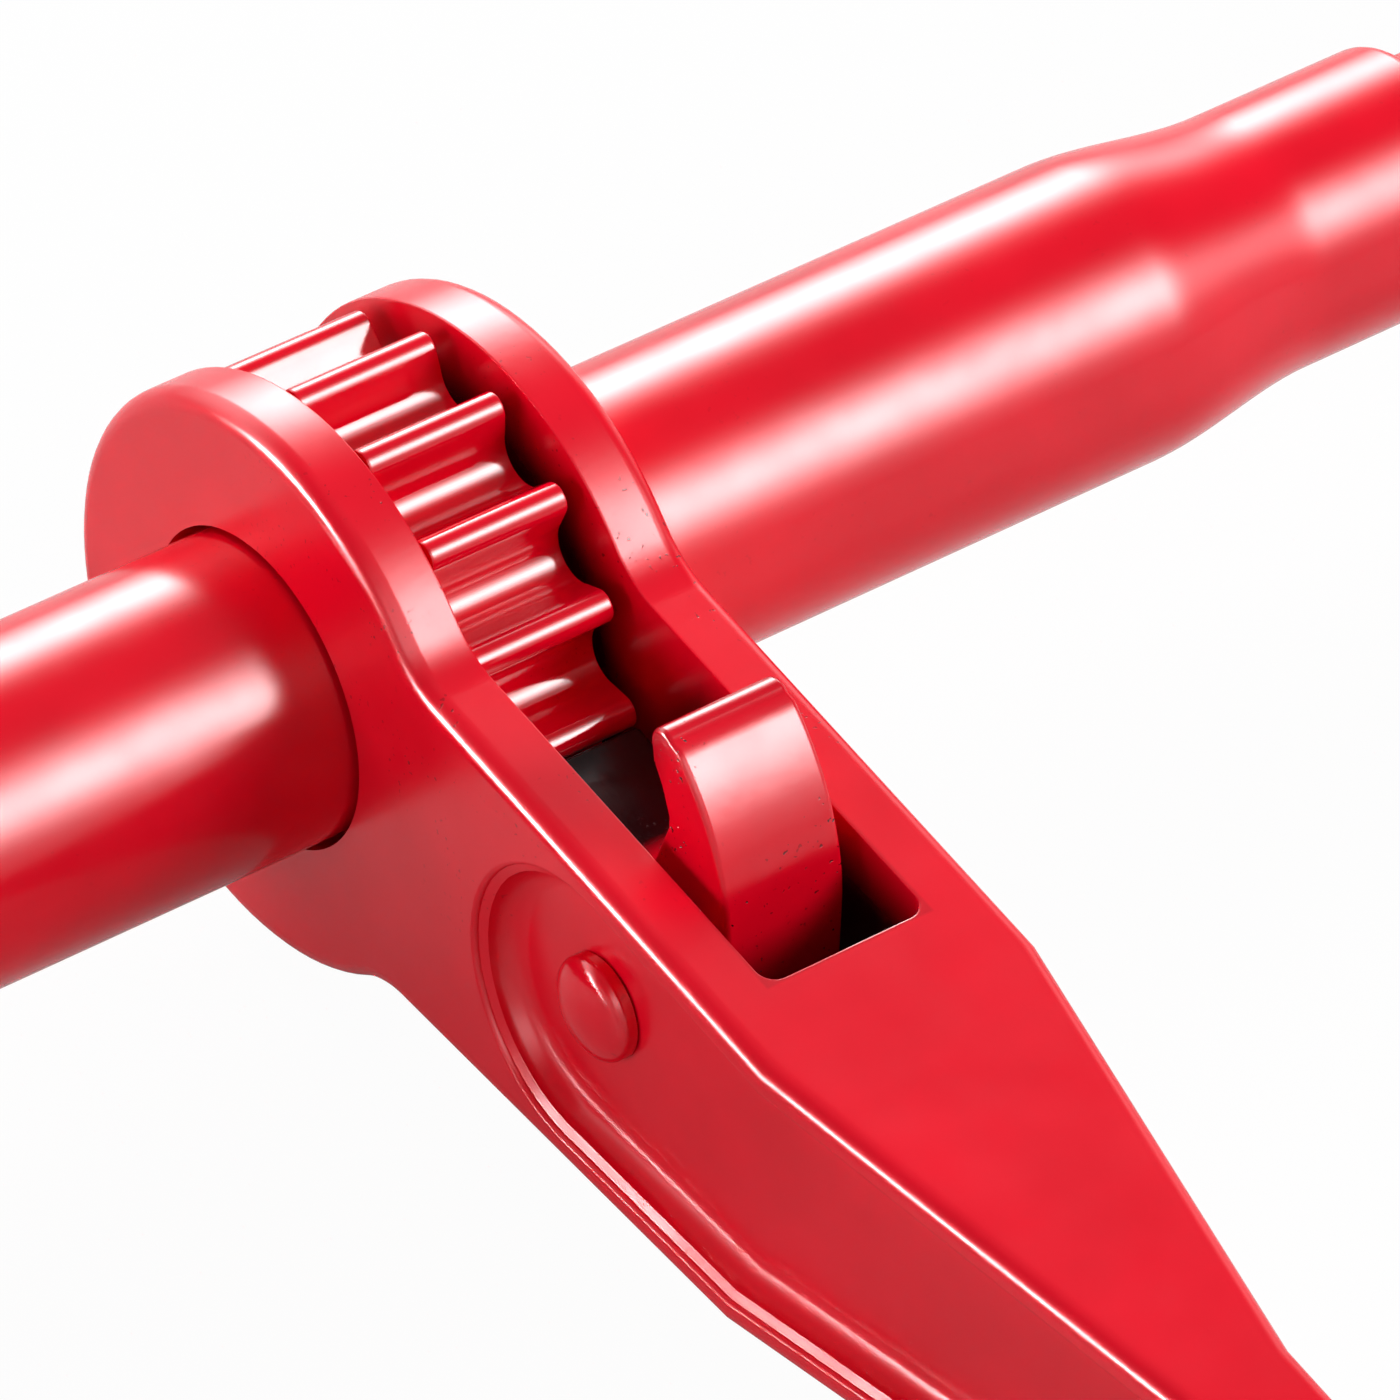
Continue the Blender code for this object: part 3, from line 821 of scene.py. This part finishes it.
oval = section("right_oval_link", (link_bend_r, 0, link_bend_r), link_r, (0, math.pi / 2, 0))
pull(6, (link_straight, 0, 0))
bend_centre = (link_bend_r + link_straight, 0, 0)
bpy.ops.mesh.spin(steps=32, angle=-math.pi, center=bend_centre, axis=(0, 1, 0))
pull(6, (-link_straight, 0, 0))
bpy.ops.mesh.spin(steps=32, angle=-math.pi, center=(link_bend_r, 0, 0), axis=(0, 1, 0))
close_up(oval)
weld_x = link_bend_r + link_straight / 2
choose(oval, lambda co: abs(co.x - weld_x) < 1e-4 and co.z > 0)
bpy.ops.transform.resize(value=(1, weld_swell, weld_swell), center_override=(weld_x, 0, link_bend_r))
place(oval, axis + Vector((link_inner_x, 0, 0)))
left_oval = mirror_copy(oval, "left_oval_link")
link_paint = painted("link_red", gloss=0.2, peel=0.2, forging=0.2, pits=0.4)
for piece, side_name in ((oval, "right"), (left_oval, "left")):
    soften(piece, angle=45)
    fit(piece, link_paint, f"{side_name}_link", f"{side_name}_link")


# Each hook is a forged bar with a flat eye at one end, bent back on itself to take a chain link, with a blunt
# tip. The bar is a round section drawn out, spun round the bend, drawn in at the tip and joined to its eye.
hook_r = 0.009
hook_bend_r = 0.016
hook_eye_x = 0.284
hook_bend_x = 0.344
hook_tip = 0.024
tip_round = 0.006
tip_flat = 0.35
tip_steps = 6
hook_start = hook_eye_x + (eye_r + eye_hole_r) / 2
bar = section("hook_bar", (hook_start, 0, 0), hook_r, (0, math.pi / 2, 0), 32)
bpy.ops.mesh.edge_face_add()
pull(8, (hook_bend_x - hook_start, 0, 0))
bpy.ops.mesh.spin(steps=36, angle=math.pi, center=(hook_bend_x, -hook_bend_r, 0), axis=(0, 0, 1))
pull(4, (tip_round - hook_tip, 0, 0))
tip_angles = [math.pi / 2 * i / tip_steps for i in range(tip_steps + 1)]
for was, now in zip(tip_angles, tip_angles[1:-1]):
    pull(1, (-tip_round * (math.sin(now) - math.sin(was)), 0, 0))
    shrink = (tip_flat + (1 - tip_flat) * math.cos(now)) / (tip_flat + (1 - tip_flat) * math.cos(was))
    tip_x = hook_bend_x - hook_tip + tip_round * (1 - math.sin(now))
    bpy.ops.transform.resize(value=(1, shrink, shrink), center_override=(tip_x, -2 * hook_bend_r, 0))
close_up(bar)
hook = forged_eye("right_forged_hook", hook_eye_x)
weld(hook, bar)
place(hook, axis)
left_hook = mirror_copy(hook, "left_forged_hook")
hook_paint = painted("hook_red", gloss=0.2, peel=0.2, forging=0.25, pits=0.5)
for piece, side_name in ((hook, "right"), (left_hook, "left")):
    soften(piece, angle=60)
    fit(piece, hook_paint, f"{side_name}_hook", f"{side_name}_hook")


# The studio is a white floor and a white surround. Four soft boxes, above, behind, right and left, light only
# what is matt. Reflections see the surround instead: white low down, dark overhead, and soft strips of light
# behind the barrel, over the camera and at the far left, set where the photograph has its highlights.
floor_size = 12.0
ambient = 0.1
overhead = 0.2
dark_from = 0.1
dark_full = 0.45
floor_grey = 0.6
floor_white_share = 0.97
floor_mirrored = 0.12
strip_fade = 0.06
bpy.ops.object.select_all(action="DESELECT")
bpy.ops.mesh.primitive_plane_add(size=floor_size, location=(0, 0, cad_box[0].z))
floor = bpy.context.object
floor.name = "studio_floor"


def seen_directly(tree, *kinds):
    """One where the ray is of one of these kinds, such as from the camera or off something shiny."""
    paths = tree.nodes.new("ShaderNodeLightPath").outputs
    seen = paths[kinds[0]]
    for kind in kinds[1:]:
        seen = reckon(tree, "MAXIMUM", seen, paths[kind])
    return seen


floor_white = bpy.data.materials.new("floor_white")
floor_white.use_nodes = True
tree = floor_white.node_tree
tree.nodes.remove(tree.nodes["Principled BSDF"])
matte = tree.nodes.new("ShaderNodeBsdfDiffuse")
matte.inputs["Color"].default_value = (floor_grey, floor_grey, floor_grey, 1)
glow = tree.nodes.new("ShaderNodeEmission")
mix = tree.nodes.new("ShaderNodeMixShader")
open_view = seen_directly(tree, "Is Camera Ray", "Is Transmission Ray")
white_share = reckon(tree, "MULTIPLY", open_view, floor_white_share)
mirror_share = reckon(tree, "MULTIPLY", seen_directly(tree, "Is Glossy Ray"), floor_mirrored)
white_share = reckon(tree, "MAXIMUM", white_share, mirror_share)
link(tree, white_share, mix.inputs["Fac"])
link(tree, matte.outputs[0], mix.inputs[1])
link(tree, glow.outputs[0], mix.inputs[2])
link(tree, mix.outputs[0], tree.nodes["Material Output"].inputs["Surface"])
floor.data.materials.append(floor_white)

world = bpy.data.worlds.new("studio")
bpy.context.scene.world = world
world.use_nodes = True
tree = world.node_tree
direction = tree.nodes.new("ShaderNodeTexCoord").outputs["Generated"]
split = tree.nodes.new("ShaderNodeSeparateXYZ")
link(tree, direction, split.inputs[0])
mirror_level = remap(tree, split.outputs["Z"], dark_from, dark_full, 1.0, overhead)
round_barrel = reckon(tree, "ARCTAN2", split.outputs["Z"], split.outputs["Y"])
# Each strip: its height round the barrel and its spread, in degrees, its strength and its two ends along X.
strips = (
    (29, 11.5, 4, -0.85, 0.85),
    (29, 11.5, 14, 0.38, 0.56),
    (137, 13, 4, -0.85, 0.85),
    (137, 13, 23, 0.38, 0.56),
    (11, 7, 130, -0.97, -0.75),
)
for rise, spread, bright, left_end, right_end in strips:
    off = reckon(tree, "SUBTRACT", round_barrel, math.radians(rise))
    off = reckon(tree, "DIVIDE", off, math.radians(spread))
    fall = reckon(tree, "MULTIPLY", reckon(tree, "MULTIPLY", off, off), -0.5)
    strip = reckon(tree, "MULTIPLY", reckon(tree, "POWER", math.e, fall), bright)
    from_left = remap(tree, split.outputs["X"], left_end - strip_fade, left_end + strip_fade)
    from_right = remap(tree, split.outputs["X"], right_end + strip_fade, right_end - strip_fade)
    strip = reckon(tree, "MULTIPLY", reckon(tree, "MULTIPLY", strip, from_left), from_right)
    mirror_level = reckon(tree, "ADD", mirror_level, strip)
shiny = seen_directly(tree, "Is Glossy Ray")
open_view = seen_directly(tree, "Is Camera Ray", "Is Transmission Ray")
level = reckon(tree, "MAXIMUM", reckon(tree, "MULTIPLY", shiny, mirror_level), open_view)
plain = reckon(tree, "MULTIPLY", reckon(tree, "SUBTRACT", 1.0, shiny), ambient)
level = reckon(tree, "MAXIMUM", level, plain)
link(tree, level, tree.nodes["Background"].inputs["Strength"])
tree.nodes["Background"].inputs["Color"].default_value = (1, 1, 1, 1)

middle_of_view = axis + Vector((0.0277, -0.0284, -0.0054))
# Each box: its name, its place from the middle of the view, its length and width in metres, and its power.
boxes = (
    ("top_box", (0.1, 0.15, 1.5), 1.2, 1.0, 3),
    ("back_box", (0.3, 1.1, 0.95), 1.6, 0.6, 24),
    ("right_box", (0.95, -0.95, 0.7), 1.0, 0.6, 20),
    ("left_box", (-1.35, 0.1, 0.25), 1.0, 0.5, 10.5),
)
for box_name, toward, box_length, box_width, power in boxes:
    lamp = bpy.data.lights.new(box_name, "AREA")
    lamp.shape = "RECTANGLE"
    lamp.size = box_length
    lamp.size_y = box_width
    lamp.energy = power
    soft_box = bpy.data.objects.new(box_name, lamp)
    bpy.context.scene.collection.objects.link(soft_box)
    soft_box.location = middle_of_view + Vector(toward)
    soft_box.rotation_euler = (-Vector(toward)).to_track_quat("-Z", "Y").to_euler()
    soft_box.visible_camera = False
    soft_box.visible_glossy = False

camera_data = bpy.data.cameras.new("camera")
camera_data.lens = 352
camera_data.sensor_width = 36
camera = bpy.data.objects.new("camera", camera_data)
bpy.context.scene.collection.objects.link(camera)
look_from = math.radians(-39.0)
look_down = math.radians(40.85)
roll = math.radians(3.26)
away = 1.741
back = Vector(
    (
        math.sin(look_from) * math.cos(look_down),
        -math.cos(look_from) * math.cos(look_down),
        math.sin(look_down),
    )
)
camera.location = middle_of_view + away * back
camera.rotation_mode = "QUATERNION"
camera.rotation_quaternion = (-back).to_track_quat("-Z", "Y") @ Quaternion((0, 0, 1), roll)
bpy.context.scene.camera = camera
bpy.context.scene.view_settings.view_transform = "Standard"
